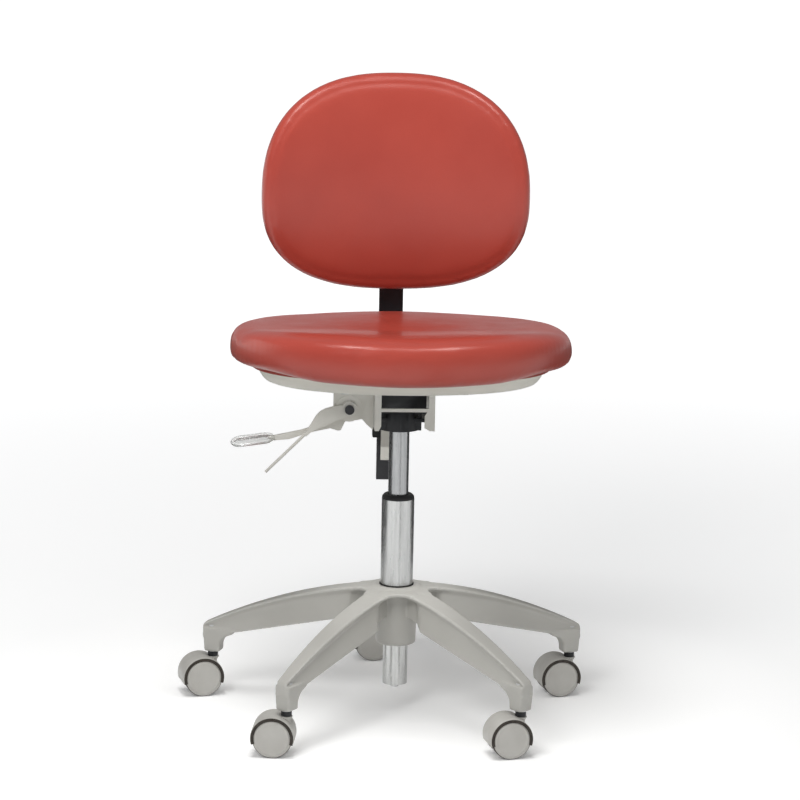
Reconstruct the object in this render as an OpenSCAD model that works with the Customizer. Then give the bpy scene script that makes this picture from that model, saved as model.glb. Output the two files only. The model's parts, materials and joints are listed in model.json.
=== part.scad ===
// Dentist's stool: five-star base on twin-wheel casters, gas lift, tilting backrest.
// Origin: on the floor under the column's axis. +Z up, the sitter faces -Y, the backrest is at +Y.

/* [Casters] */
// Diameter of each wheel
wheel_d = 50; // [48:1:52]
// Distance that a wheel's axle trails behind the stem
caster_trail = 16; // [14:1:18]
// Width across the two wheels of a caster
caster_w = 42.8; // [40:0.2:46]
// Width of the web between the two wheels
web_w = 14; // [13:0.5:15]

/* [Base] */
// Radius of the circle that the caster stems stand on
caster_circle_r = 248; // [240:1:260]
// Height of the leg ends' lower faces
socket_z = 57; // [56:0.5:60]
// Height of the hub's crown
crown_z = 168; // [164:1:172]
// Height of the hub skirt's lower edge
skirt_z = 90; // [86:1:96]
// Diameter of the hub skirt
hub_d = 52; // [50:1:56]

/* [Gas lift] */
// Outer diameter of the column tube
tube_d = 42; // [41:0.5:44]
// Outer diameter of the column tube's lower end
stub_d = 32; // [31:0.5:34]
// Height of the column tube's lower end
stub_z = 36; // [32:1:40]
// Height of the top of the column tube
tube_top_z = 281.5; // [270:0.5:285]
// Outer diameter of the gas cylinder
cylinder_d = 26; // [25:0.5:27]

/* [Mechanism] */
// Height of the lower face of the taper socket
socket_block_z = 373; // [368:1:378]
// Height of the seat pan's underside above the column's axis
seat_z = 436; // [432:1:440]
// Backward slope of the seat
seat_tilt = 4; // [0:0.5:5]
// Inner width of the mechanism housing
housing_w = 60; // [56:1:64]
// Sideways offset of the mechanism housing
housing_x = 3; // [0:0.5:4]

/* [Seat] */
// Width of the seat cushion
seat_w = 436; // [420:2:450]
// Reach of the seat cushion in front of the column
seat_front = 215; // [205:1:225]
// Reach of the seat cushion behind the column
seat_rear = 195; // [185:1:200]
// Thickness of the seat cushion
seat_t = 56; // [50:1:60]
// Depth of the seat pan
pan_h = 18; // [16:1:24]

/* [Back] */
// Width of the backrest
back_w = 356; // [340:2:370]
// Height of the backrest's lower edge
back_bottom_z = 520; // [515:1:530]
// Height of the backrest
back_h = 289; // [270:1:300]
// Thickness of the back cushion
back_t = 44; // [38:1:50]
// Radius of the backrest's curve around the sitter
back_curve_r = 600; // [500:10:800]
// Backward lean of the backrest
back_lean = 3; // [0:0.5:5]
// Distance from the column's axis to the upright's front face
upright_y = 236; // [230:1:240]
// Height of the upright's lower end
upright_z = 253; // [246:1:260]

/* [Hidden] */
$fn = 48;

EPS = 0.01;               // overlap that keeps a cut clean
FIT = 0.05;               // radial clearance of a running or locating fit
LEG_ANGLES = [90, 162, 234, 306, 18];
CASTER_YAWS = [1, 12, -7, 11, 11];     // each caster's swivel at rest, wheels trailing towards -X

CREAM = [0.87, 0.86, 0.80];
BASE_GREY = [0.72, 0.72, 0.69];
BLACK = [0.07, 0.07, 0.08];
CHROME = [0.80, 0.81, 0.82];
STEEL = [0.62, 0.63, 0.65];
RED = [0.72, 0.27, 0.24];
PLYWOOD = [0.76, 0.60, 0.40];
CASTER_GREY = [0.74, 0.73, 0.70];
CLEAR_WHITE = [0.95, 0.95, 0.94];

// ---- Shared shapes ----

// A tube or ring standing on z
module ring(r_out, r_in, z, h) {
    translate([0, 0, z]) difference() {
        cylinder(r = r_out, h = h);
        translate([0, 0, -EPS]) cylinder(r = r_in, h = h + 2 * EPS);
    }
}

// A cylinder along Y from y0 to y1
module along_y(x, z, r, y0, y1) {
    translate([x, y1, z]) rotate([90, 0, 0]) cylinder(r = r, h = y1 - y0);
}

// A cylinder along X from x0 to x1
module along_x(y, z, r, x0, x1) {
    translate([x0, y, z]) rotate([0, 90, 0]) cylinder(r = r, h = x1 - x0);
}

// A flat shape drawn in X and Z, from y0 to y1
module plate_xz(y0, y1) {
    translate([0, y1, 0]) rotate([90, 0, 0]) linear_extrude(y1 - y0) children();
}

// A flat shape drawn in Y and Z, from x0 to x1
module plate_yz(x0, x1) {
    translate([x0, 0, 0]) rotate([90, 0, 90]) linear_extrude(x1 - x0) children();
}

function arc(cx, cy, r, a0, a1, n) =
    [for (i = [0:n]) let (a = a0 + (a1 - a0) * i / n) [cx + r * cos(a), cy + r * sin(a)]];

// Closed oval of half width a, reaching b_up above and b_down below its widest line,
// with its own fullness (2 is an ellipse) above and below
function oval(a, b_up, b_down, full_up, full_down, n = 48) =
    [for (i = [0:n - 1]) let (
        t = 360 * i / n, up = sin(t) >= 0, full = up ? full_up : full_down, b = up ? b_up : b_down)
        [a * sign(cos(t)) * pow(abs(cos(t)), 2 / full), b * sign(sin(t)) * pow(abs(sin(t)), 2 / full)]];

// ---- Base ----

hub_r = hub_d / 2;
tube_r = tube_d / 2;
stub_r = stub_d / 2;
leg_end_r = caster_circle_r + 12;       // outer face of a leg end
leg_inner_r = caster_circle_r - 12;     // inner face of a leg end
leg_wall = 5;
elbow_r = 16;                           // fillet under the elbow
leg_arch = 1124;                        // a larger value flattens the ridge
leg_arch_r = 29;
underside_z = 113;                      // height of the underside where it is measured, 98 from the axis
underside_r = 98;
underside_slope = 0.23;

function ridge_z(r) = crown_z + 0.8 - pow(r + leg_arch_r, 2) / leg_arch;
function belly_z(r) = underside_z - underside_slope * (r - underside_r);

module leg_side() {
    polygon(concat(
        [for (r = [0:20:240]) [r, ridge_z(r)]],
        [[leg_end_r - 8, ridge_z(252)], [leg_end_r - 2, ridge_z(260) + 0.5], [leg_end_r, ridge_z(265) - 3]],
        [[leg_end_r - 1.5, socket_z], [leg_inner_r, socket_z], [leg_inner_r - 1, socket_z + 12]],
        arc(leg_inner_r - 1 - elbow_r, belly_z(leg_inner_r) - elbow_r, elbow_r, 10, 80, 6),
        [[hub_r - 8, belly_z(hub_r)], [0, belly_z(hub_r)]]
    ));
}

module leg_plan(hub_half, end_half) {
    polygon([[0, -hub_half], [leg_end_r + 1, -end_half], [leg_end_r + 1, end_half], [0, hub_half]]);
}

// The pocket under a leg that leaves it an upside-down channel
module leg_pocket() {
    intersection() {
        plate_xz(-30, 30) polygon(concat(
            [[44, 60]],
            [for (r = [44:22:220]) [r, ridge_z(r) - leg_wall]],
            [[220, 60]]
        ));
        linear_extrude(crown_z) leg_plan(12, 4.5);
    }
}

module leg() {
    difference() {
        union() {
            intersection() {
                plate_xz(-30, 30) leg_side();
                linear_extrude(crown_z + 2) leg_plan(18, 9);
            }
            intersection() {
                plate_xz(-30, 30) leg_side();
                linear_extrude(crown_z + 2) leg_plan(22, 12);
                translate([0, 0, belly_z(0) - 2]) rotate([0, 90 + atan(underside_slope), 0])
                    rotate([0, 0, 90]) linear_extrude(leg_end_r - 22)
                        polygon([[-17, 0], [17, 0], [12, 24], [-12, 24]]);
            }
            intersection() {
                plate_xz(-30, 30) leg_side();
                translate([leg_inner_r - 6, -11, socket_z]) cube([40, 22, 40]);
            }
        }
        leg_pocket();
    }
}

// The outside of the column tube's taper, with a clearance
module column_taper(gap) {
    rotate_extrude() polygon([
        [0, stub_z - 1], [stub_r + gap, stub_z - 1], [stub_r + gap, skirt_z], [tube_r + gap, crown_z],
        [tube_r + gap, crown_z + 10], [0, crown_z + 10]
    ]);
}

module star_base() color(BASE_GREY) {
    difference() {
        union() {
            for (a = LEG_ANGLES) rotate(a) leg();
            rotate_extrude() polygon([
                [0, skirt_z], [hub_r - 3, skirt_z], [hub_r, skirt_z + 3], [hub_r + 1, crown_z - 18],
                [hub_r + 7, crown_z - 9], [hub_r + 7, crown_z - 4], [hub_r + 2, crown_z], [0, crown_z]
            ]);
        }
        column_taper(FIT);
        for (a = LEG_ANGLES) rotate(a) translate([caster_circle_r, 0, socket_z - 1])
            cylinder(r = sleeve_r + 0.02, h = sleeve_h + 1);
        translate([0, 0, crown_z]) cylinder(r = 60, h = 10);
    }
}

sleeve_r = 7.5;
sleeve_h = 36;
stem_r = 5.5;
pin_r = 4;                              // the stem's lower pin, which the caster swivels on
collar_r = 6.8;
hood_top_z = 50;

module stem_sleeves() color(STEEL) {
    for (a = LEG_ANGLES) rotate(a) translate([caster_circle_r, 0, 0])
        ring(sleeve_r, stem_r + 0.02, socket_z, sleeve_h);
}

module caster_stems() color(BLACK) {
    for (a = LEG_ANGLES) rotate(a) translate([caster_circle_r, 0, 0]) {
        translate([0, 0, socket_z - 1]) cylinder(r = stem_r, h = sleeve_h - 2);
        translate([0, 0, hood_top_z + 0.4]) cylinder(r = collar_r, h = socket_z - hood_top_z - 0.4);
        translate([0, 0, 24]) cylinder(r = pin_r, h = hood_top_z - 23);
    }
}

tube_wall = 1.5;

module column_tube() color(CHROME) {
    rotate_extrude() polygon([
        [stub_r - 2, stub_z], [stub_r, stub_z], [stub_r, skirt_z], [tube_r, crown_z], [tube_r, tube_top_z],
        [tube_r - tube_wall, tube_top_z], [tube_r - tube_wall, crown_z], [stub_r - 2, skirt_z]
    ]);
}

module column_ring() color(BLACK) {
    ring(tube_r + 1.2, tube_r + 0.02, crown_z, 1.5);
}

rod_r = 5;
end_plate_t = 4;

module column_end_plate() color(STEEL) {
    ring(stub_r - 2.02, rod_r + FIT, stub_z, end_plate_t);
}

bush_flange_h = 6;
bush_liner_h = 70;

module guide_bush() color(BLACK) {
    bore = cylinder_d / 2 + FIT;
    rotate_extrude() polygon([
        [bore, tube_top_z - bush_liner_h], [tube_r - tube_wall - 0.02, tube_top_z - bush_liner_h],
        [tube_r - tube_wall - 0.02, tube_top_z], [tube_r - 0.3, tube_top_z],
        [tube_r - 0.3, tube_top_z + bush_flange_h - 3], [tube_r - 3, tube_top_z + bush_flange_h],
        [bore, tube_top_z + bush_flange_h]
    ]);
}

// ---- Gas spring ----

bearing_z = stub_z + end_plate_t;
bearing_h = 7;
rod_top_z = 250;
rod_end_z = 31;
clip_z = 33.5;
clip_h = 2;
clip_groove_r = 4;

module piston_rod() color(STEEL) {
    difference() {
        translate([0, 0, rod_end_z]) cylinder(r = rod_r, h = rod_top_z - rod_end_z);
        ring(rod_r + 1, clip_groove_r, clip_z - 0.1, clip_h + 0.2);
    }
}

module rod_clip() color(STEEL) {
    difference() {
        ring(8, clip_groove_r + 0.02, clip_z, clip_h);
        translate([0, -3.2, clip_z - 1]) cube([10, 6.4, clip_h + 2]);
    }
}

module thrust_bearing() color(STEEL) {
    ball_r = 1.5;
    ring(11, rod_r + 0.02, bearing_z, 2);
    ring(11, rod_r + 0.02, bearing_z + bearing_h - 2, 2);
    for (a = [0:45:315]) rotate(a) translate([8, 0, bearing_z + bearing_h / 2]) sphere(r = ball_r);
}

module rubber_buffer() color(BLACK) {
    ring(10, rod_r + 0.02, bearing_z + bearing_h, 13);
}

cylinder_z = 135;
cylinder_bore_r = 11;
cylinder_top_z = 403;
button_r = 4;

module piston_head() color(BLACK) {
    ring(cylinder_bore_r - FIT, rod_r + 0.02, rod_top_z - 14, 12);
}

module gas_cylinder() color(CHROME) {
    top_r = cylinder_d / 2 - 0.8;
    difference() {
        rotate_extrude() polygon([
            [0, cylinder_z], [cylinder_d / 2, cylinder_z], [cylinder_d / 2, socket_block_z + 2],
            [top_r, cylinder_top_z], [0, cylinder_top_z]
        ]);
        translate([0, 0, cylinder_z - 1]) cylinder(r = cylinder_bore_r, h = 244);
        translate([0, 0, cylinder_top_z - 18]) cylinder(r = button_r + FIT, h = 20);
    }
}

module cylinder_head() color(BLACK) {
    ring(cylinder_bore_r - 0.02, rod_r + FIT, cylinder_z, 12);
}

module release_button() color(STEEL) {
    translate([0, 0, cylinder_top_z - 9]) cylinder(r = button_r, h = 15);
}

// ---- Seat mechanism ----

// The seat's own slope: z = 0 is the pan's underside
module on_seat_slope() {
    translate([0, 0, seat_z]) rotate([-seat_tilt, 0, 0]) children();
}

function slope_z(y) = seat_z - y * tan(seat_tilt);

plate_t = 3;                            // thickness of the plate that carries the seat
plate_gap = plate_t + 0.05;             // from the seat slope down to what is fixed under the plate

cheek_t = 3;
flange_w = 8;
housing_front = -62;
housing_back = 122;
left_in = housing_x - housing_w / 2;
right_in = housing_x + housing_w / 2;
left_out = left_in - flange_w;
right_out = right_in + flange_w;
flange_z = 382;                         // lower ends of the flanges at the housing's front
axle_y = 100;
axle_z = 396;
axle_r = 5;
pivot_x = -66.5;
pivot_z = 406;
pivot_r = 4;
tongue_z = 409.6;                       // underside of the height lever's inner tongue

module taper_socket() color(BLACK) {
    top_r = cylinder_d / 2 - 0.8;
    boss_r = 26;
    boss_h = 25;
    web_gap = 0.5;                      // between the casting and the cheeks' inner edges
    web_right = 27;
    screen_y = -24;
    notch_x = [13.2, 20];               // where the notch in the web's top begins, and its lowest point
    difference() {
        union() {
            translate([0, 0, socket_block_z]) cylinder(r = boss_r, h = boss_h);
            translate([left_in + web_gap, -18, socket_block_z + 1])
                cube([web_right - left_in - web_gap, 42, boss_h - 1]);
            translate([left_in + web_gap, screen_y, socket_block_z + boss_h - 1])
                cube([housing_w - 2 * web_gap, 4, slope_z(screen_y + 4) - 9 - socket_block_z - boss_h + 1]);
            translate([left_out + cheek_t, -20, socket_block_z + 12])
                cube([right_out - left_out - 2 * cheek_t, 44, 5]);
        }
        rotate_extrude() polygon([
            [0, socket_block_z - 1], [cylinder_d / 2 + 0.02, socket_block_z - 1],
            [cylinder_d / 2 + 0.02, socket_block_z + 2], [top_r + 0.02, cylinder_top_z], [0, cylinder_top_z]
        ]);
        plate_xz(-19, 30) polygon([
            [notch_x[0], socket_block_z + boss_h + 1], [notch_x[1], socket_block_z + boss_h - 9.5],
            [web_right + 1, socket_block_z + boss_h + 1]
        ]);
    }
}

module cheek_side() {
    polygon([
        [housing_front, slope_z(housing_front) - 7], [housing_back, slope_z(housing_back) - 7],
        [housing_back, axle_z - 12], [axle_y - 30, 382], [30, 375], [housing_front, flange_z]
    ]);
}

module mechanism_housing() color(CREAM) {
    slot_h = 18;
    toe_x = 28;                         // the right flange is wider below the cross strip
    difference() {
        union() {
            plate_yz(left_out, left_out + cheek_t) cheek_side();
            plate_yz(right_out - cheek_t, right_out) cheek_side();
            plate_xz(housing_front, housing_front + cheek_t) polygon([
                [left_out, slope_z(housing_front) - 7], [left_out, flange_z], [left_in - 3, flange_z],
                [left_in, flange_z + 6], [left_in, slope_z(housing_front) - 7]
            ]);
            plate_xz(housing_front, housing_front + cheek_t) polygon([
                [right_out, slope_z(housing_front) - 7], [right_out - 2, flange_z + 1],
                [right_out - 6, flange_z], [toe_x, flange_z + 4], [toe_x, 401], [right_in - 2, 406],
                [right_in, 412], [right_in, slope_z(housing_front) - 7]
            ]);
            plate_yz(left_out, right_out) polygon([
                [housing_front, slope_z(housing_front) - 8],
                [housing_front, slope_z(housing_front) - plate_gap],
                [housing_back, slope_z(housing_back) - plate_gap],
                [housing_back, slope_z(housing_back) - 8]
            ]);
            translate([left_in - EPS, housing_front, 406.6]) cube([housing_w + 2 * EPS, cheek_t, 4.2]);
        }
        along_x(axle_y, axle_z, axle_r + FIT, left_out - 1, right_out + 1);
        translate([left_out - 1, -9, tongue_z - slot_h / 2 - 1]) cube([cheek_t + 2, 18, slot_h]);
    }
}

module seat_plate() color(STEEL) {
    on_seat_slope() difference() {
        translate([-90, -110, -plate_t]) cube([180, 220, plate_t]);
        bolt_places() cylinder(r = 3.3, h = 10, center = true);
    }
}

module bolt_places() {
    for (x = [-75, 75], y = [-90, 90]) translate([x, y, 0]) children();
}

module seat_bolts() color(STEEL) {
    on_seat_slope() bolt_places() {
        translate([0, 0, -7]) cylinder(r = 5.5, h = 4);
        translate([0, 0, -5]) cylinder(r = 3, h = 5 + pan_h + 8);
    }
}

pan_floor = 3;

module seat_outline(inset) {
    polygon(oval(seat_w / 2 - inset, seat_rear - inset, seat_front - inset, 2.7, 2.15));
}

module seat_pan() color(CREAM) {
    on_seat_slope() difference() {
        hull() {
            linear_extrude(0.5) seat_outline(56);
            translate([0, 0, 8]) linear_extrude(0.5) seat_outline(38);
            translate([0, 0, pan_h - 1]) linear_extrude(1) seat_outline(34);
        }
        translate([0, 0, pan_floor]) linear_extrude(pan_h) seat_outline(62);
        bolt_places() cylinder(r = 3.1, h = 20, center = true);
    }
}

board_t = 12;
board_inset = 28;

module seat_board() color(PLYWOOD) {
    on_seat_slope() difference() {
        translate([0, 0, pan_h]) linear_extrude(board_t) seat_outline(board_inset);
        bolt_places() translate([0, 0, pan_h]) cylinder(r = 3.1, h = 20, center = true);
    }
}

module seat_cushion() color(RED) {
    on_seat_slope() difference() {
        hull() {
            translate([0, 0, pan_h]) linear_extrude(1) seat_outline(12);
            translate([0, 0, pan_h + 12]) linear_extrude(1) seat_outline(1);
            translate([0, 0, pan_h + 30]) linear_extrude(1) seat_outline(0);
            translate([0, 0, pan_h + seat_t - 13]) linear_extrude(1) seat_outline(6);
            translate([0, 0, pan_h + seat_t - 1]) linear_extrude(1) seat_outline(26);
        }
        translate([0, 0, pan_h - 1]) linear_extrude(board_t + 1) seat_outline(board_inset);
    }
}

ear_y = [[-36, -31], [9, 13]];          // the lever bracket's two ears
bracket_left = -86.6;

module lever_bracket() color(CREAM) {
    boss_r = 17;
    difference() {
        union() {
            plate_xz(ear_y[0][0], ear_y[0][1]) polygon(concat(
                [[left_out - 1, slope_z(0) - 3.5], [bracket_left, slope_z(0) - 3.5], [bracket_left, 406]],
                arc(pivot_x, pivot_z, boss_r, 200, 290, 8),
                [[-50, 392], [-44, 385], [left_out - 1, 378]]
            ));
            along_y(pivot_x, pivot_z, boss_r, ear_y[0][0] - 2, ear_y[0][1]);
            plate_xz(ear_y[1][0], ear_y[1][1]) polygon(concat(
                [[left_out - 1, slope_z(ear_y[1][1]) - 3.5], [bracket_left + 4, slope_z(ear_y[1][1]) - 3.5]],
                arc(pivot_x, pivot_z, 12, 180, 360, 10),
                [[left_out - 1, 410]]
            ));
            plate_yz(bracket_left, left_out - 1) polygon([
                [ear_y[0][0], slope_z(ear_y[0][0]) - plate_gap],
                [ear_y[1][1], slope_z(ear_y[1][1]) - plate_gap],
                [ear_y[1][1], slope_z(ear_y[1][1]) - 7], [ear_y[0][0], slope_z(ear_y[0][0]) - 7]
            ]);
        }
        along_y(pivot_x, pivot_z, pivot_r + FIT, -50, 30);
    }
}

module lever_pivot_pin() color(STEEL) {
    along_y(pivot_x, pivot_z, pivot_r, -46, ear_y[1][1] + 3);
    along_y(pivot_x, pivot_z, 6, -49, -45.5);
}

module arm_axle() color(STEEL) {
    along_x(axle_y, axle_z, axle_r, left_out - 5, right_out + 5);
}

module axle_clips() color(STEEL) {
    for (x = [left_out - 3, right_out + 0.6]) difference() {
        along_x(axle_y, axle_z, 8, x, x + 2.4);
        along_x(axle_y, axle_z, axle_r + 0.02, x - 1, x + 4);
    }
}

spring_wire = 3;

module tilt_spring() color(STEEL) {
    for (i = [0:5]) translate([right_out - cheek_t - 2.6 - i * (spring_wire + 0.2), axle_y, axle_z])
        rotate([0, 90, 0]) rotate_extrude() translate([9, 0]) circle(r = spring_wire / 2, $fn = 24);
}

// ---- Levers ----

module height_lever_arm() color(CREAM) {
    lever_y = [-29.5, -24.5];
    difference() {
        union() {
            plate_xz(lever_y[0], lever_y[1]) polygon([
                [pivot_x + 8, pivot_z], [pivot_x + 5, pivot_z + 8], [pivot_x - 6, pivot_z + 8],
                [-86, 398], [-100, 388], [-114, 380], [-126, 376], [-140, 373], [-168, 367],
                [-168, 361.5], [-142, 364], [-127, 369], [-111, 374], [-90, 378.5], [-80, 375.5],
                [-76.5, 376], [-72, 386]
            ]);
            along_y(pivot_x, pivot_z, 8, lever_y[0], 8.5);
            translate([pivot_x, -4, tongue_z]) cube([3 - pivot_x, 8, 4]);
        }
        along_y(pivot_x, pivot_z, pivot_r + FIT, -40, 30);
    }
}

grip_l = 57;
grip_w = 28;
grip_t = 4.5;
grip_slope = 8;                         // its outer end hangs lower
grip_twist = 14;                        // its rear edge stands higher

module height_lever_grip() color(CLEAR_WHITE) {
    translate([-160, -27, 366.5]) rotate([0, -grip_slope, 0]) rotate([grip_twist, 0, 0]) difference() {
        translate([0, 0, -grip_t / 2]) union() {
            translate([-grip_l + grip_w / 2, -grip_w / 2, 0]) cube([grip_l - grip_w, grip_w, grip_t]);
            translate([-grip_w / 2, 0, 0]) cylinder(r = grip_w / 2, h = grip_t);
            translate([-grip_l + grip_w / 2, 0, 0]) cylinder(r = grip_w / 2, h = grip_t);
        }
        rotate([-grip_twist, 0, 0]) rotate([0, grip_slope, 0]) translate([-9, -2.6, -6]) cube([20, 5.2, 12]);
    }
}

module tilt_lever() color(CREAM) {
    lever_y = [-44.5, -39.5];
    blade_from = [-118, 377.5];
    blade_to = [-172, 324];
    blade_r = 1.9;
    blade_l = norm(blade_to - blade_from);
    blade_angle = atan2(blade_from[1] - blade_to[1], blade_from[0] - blade_to[0]);
    difference() {
        union() {
            plate_xz(lever_y[0], lever_y[1]) polygon([
                [pivot_x + 8, pivot_z - 5], [pivot_x + 6, pivot_z + 7], [-78, 411], [-87, 409.5],
                [-97, 406.5], [-104, 402.5], [-109, 397], [-113, 390], [-119, 380], [-124, 373],
                [-121, 370.5], [-115, 376], [-108, 380], [-97, 384], [-84, 391],
                [pivot_x - 2, pivot_z - 9]
            ]);
            along_y(pivot_x, pivot_z, 10, lever_y[0], lever_y[1]);
            translate([blade_from[0], lever_y[0] + 2.5, blade_from[1]])
                rotate([0, -90 - blade_angle, 0]) cylinder(r = blade_r, h = blade_l);
        }
        along_y(pivot_x, pivot_z, pivot_r + FIT, -60, 0);
    }
}

// ---- Back arm and upright ----

arm_w = 22;
arm_plate_t = 5.5;
arm_end_z = 281;
upright_w = 32;
upright_t = 8;
upright_top_z = 690;
sleeve_z = [312, 352];
sleeve_w = 44;
knob_z = 332;

module back_arm() color(CREAM) {
    front = upright_y - 10;             // front face of the arm's vertical end
    hub_half = 14;
    difference() {
        union() {
            plate_yz(-arm_w / 2, arm_w / 2) polygon([
                [axle_y - 4, axle_z - 9], [axle_y + 2, axle_z + 9.5], [axle_y + 60, axle_z - 2],
                [front + arm_plate_t - 10, 352], [front + arm_plate_t, 342], [front + arm_plate_t, arm_end_z],
                [front, arm_end_z + 4], [front, 322], [axle_y + 52, axle_z - 22]
            ]);
            along_x(axle_y, axle_z, 10, housing_x - hub_half - 10, housing_x + hub_half - 5);
        }
        along_x(axle_y, axle_z, axle_r + FIT, -60, 60);
    }
}

module upright_sleeve() color(BLACK) {
    clear = 0.1;
    difference() {
        translate([-sleeve_w / 2, upright_y - 4.5, sleeve_z[0]])
            cube([sleeve_w, upright_t + 10.5, sleeve_z[1] - sleeve_z[0]]);
        translate([-upright_w / 2 - clear, upright_y - clear, sleeve_z[0] - 1])
            cube([upright_w + 2 * clear, upright_t + 2 * clear, sleeve_z[1] - sleeve_z[0] + 2]);
        along_y(0, knob_z, 4 + FIT, upright_y + upright_t, upright_y + upright_t + 10);
    }
}

module clamp_stud() color(STEEL) {
    along_y(0, knob_z, 4, upright_y + upright_t + 0.3, upright_y + upright_t + 24);
}

module clamp_knob() color(BLACK) {
    knob_y = upright_y + upright_t + 9;
    lobe_r = 5;
    difference() {
        union() {
            along_y(0, knob_z, 15, knob_y + 2, knob_y + 19);
            along_y(0, knob_z, 9, knob_y, knob_y + 3);
            for (a = [0:60:300])
                along_y(13 * cos(a), knob_z + 13 * sin(a), lobe_r, knob_y + 2, knob_y + 19);
        }
        along_y(0, knob_z, 4 + 0.02, knob_y - 1, upright_y + upright_t + 24.02);
    }
}

bend_z = 585;                           // the upright leans with the backrest above this height

module back_upright() color(BLACK) {
    lean_y = (upright_top_z - bend_z) * tan(back_lean);
    difference() {
        intersection() {
            plate_yz(-upright_w / 2, upright_w / 2) polygon([
                [upright_y, upright_z], [upright_y + upright_t, upright_z], [upright_y + upright_t, bend_z],
                [upright_y + upright_t + lean_y, upright_top_z], [upright_y + lean_y, upright_top_z],
                [upright_y, bend_z]
            ]);
            union() {
                translate([-upright_w / 2 - 1, upright_y - 10, upright_z - 1])
                    cube([upright_w + 2, 40, upright_top_z - upright_z - upright_w / 2 + 1]);
                along_y(0, upright_top_z - upright_w / 2, upright_w / 2, upright_y - 10, upright_y + 30);
            }
        }
        screw_places() cylinder(r = 3.3, h = 60, center = true);
    }
}

// ---- Backrest ----

back_widest = back_h * 0.434;           // height of the widest line above the lower edge
back_centre_z = back_bottom_z + back_widest;
board_back_t = 8;
shell_t = 12;
bracket_t = 3.5;
stack_t = board_back_t + shell_t + bracket_t;
back_y = upright_y - stack_t * cos(back_lean)
    + (back_centre_z - stack_t * sin(back_lean) - bend_z) * tan(back_lean);

// The backrest's own frame: y = 0 is the board's front face at the middle of the widest line
module on_back() {
    translate([0, back_y, back_centre_z]) rotate([-back_lean, 0, 0]) children();
}

module back_outline(inset) {
    polygon(oval(back_w / 2 - inset, back_h - back_widest - inset, back_widest - inset, 2.42, 2.52));
}

// A layer of the backrest, from y0 to y1 behind the board's front face, curved around the sitter
module back_layer(inset, y0, y1) {
    intersection() {
        translate([0, 60, 0]) rotate([90, 0, 0]) linear_extrude(180) back_outline(inset);
        translate([0, -back_curve_r, -back_h]) difference() {
            cylinder(r = back_curve_r + y1, h = 2 * back_h);
            translate([0, 0, -1]) cylinder(r = back_curve_r + y0, h = 2 * back_h + 2);
        }
    }
}

module back_cushion() color(RED) {
    on_back() union() {
        back_layer(0, -back_t + 14, -2);
        back_layer(7, -back_t + 6, -back_t + 14);
        back_layer(18, -back_t, -back_t + 6);
        back_layer(7, -2, 0);
    }
}

module back_board() color(PLYWOOD) {
    on_back() back_layer(10, 0, board_back_t);
}

module back_shell() color(CREAM) {
    on_back() union() {
        back_layer(9, board_back_t, board_back_t + 5);
        back_layer(20, board_back_t + 5, board_back_t + 9);
        back_layer(34, board_back_t + 9, board_back_t + shell_t);
    }
}

module screw_places() {
    on_back() for (z = [-38, 26]) translate([0, stack_t, z]) rotate([-90, 0, 0]) children();
}

module back_bracket() color(BLACK) {
    difference() {
        on_back() translate([-32, stack_t - bracket_t, -54]) cube([64, bracket_t, 96]);
        screw_places() cylinder(r = 3.3, h = 60, center = true);
    }
}

module back_screws() color(STEEL) {
    screw_places() {
        translate([0, 0, upright_t]) cylinder(r = 5.5, h = 4);
        translate([0, 0, -bracket_t]) cylinder(r = 3, h = upright_t + bracket_t + 1);
    }
}

// ---- Casters ----

wheel_r = wheel_d / 2;
caster_axle_r = 3;
hood_r = wheel_r + 2.2;
hood_gap = 0.7;

// Caster i's own frame: the stem's axis is at the origin, the wheels trail towards -X
module at_caster(i) {
    rotate(LEG_ANGLES[i]) translate([caster_circle_r, 0, 0])
        rotate(CASTER_YAWS[i] - LEG_ANGLES[i]) children();
}

module caster_hood(i) color(CASTER_GREY) {
    fender_w = caster_w - 1;
    skirt = wheel_r - 8;                // height of the fender's lower edges
    at_caster(i) difference() {
        union() {
            difference() {
                along_y(-caster_trail, wheel_r, hood_r, -fender_w / 2, fender_w / 2);
                along_y(-caster_trail, wheel_r, wheel_r + hood_gap, -fender_w, fender_w);
                translate([-100, -50, -10]) cube([200, 100, skirt + 10]);
            }
            along_y(-caster_trail, wheel_r, wheel_r - 3, -web_w / 2, web_w / 2);
            translate([-caster_trail, -web_w / 2, wheel_r]) cube([caster_trail, web_w, hood_top_z - wheel_r]);
            translate([-caster_trail - wheel_r + 4, -web_w / 2, wheel_r]) cube([wheel_r, web_w, 14]);
            translate([0, 0, wheel_r - 3]) cylinder(r = web_w / 2, h = hood_top_z - wheel_r + 3);
        }
        translate([0, 0, 23.5]) cylinder(r = pin_r + FIT, h = 40);
        translate([0, 0, hood_top_z]) cylinder(r = collar_r + 0.6, h = 10);
        along_y(-caster_trail, wheel_r, caster_axle_r + 0.02, -30, 30);
    }
}

module caster_axle(i) color(STEEL) {
    at_caster(i) along_y(-caster_trail, wheel_r, caster_axle_r, -caster_w / 2 + 3, caster_w / 2 - 3);
}

// A wheel on the side that side points to: -1 front, 1 rear
module wheel(i, side) color(CASTER_GREY) {
    inner = web_w / 2 + 0.4;
    outer = caster_w / 2;
    cap_r = wheel_r - 3.5;
    at_caster(i) translate([-caster_trail, 0, wheel_r]) rotate([side * -90, 0, 0]) difference() {
        rotate_extrude() polygon([
            [0, inner], [wheel_r - 1, inner], [wheel_r, inner + 1], [wheel_r, outer - 2.6],
            [wheel_r - 1.2, outer - 1.4], [cap_r, outer - 1.4], [cap_r, outer - 0.4],
            [cap_r - 0.6, outer], [0, outer]
        ]);
        translate([0, 0, inner - 1]) cylinder(r = caster_axle_r + FIT, h = outer - inner - 1.5);
    }
}

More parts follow.
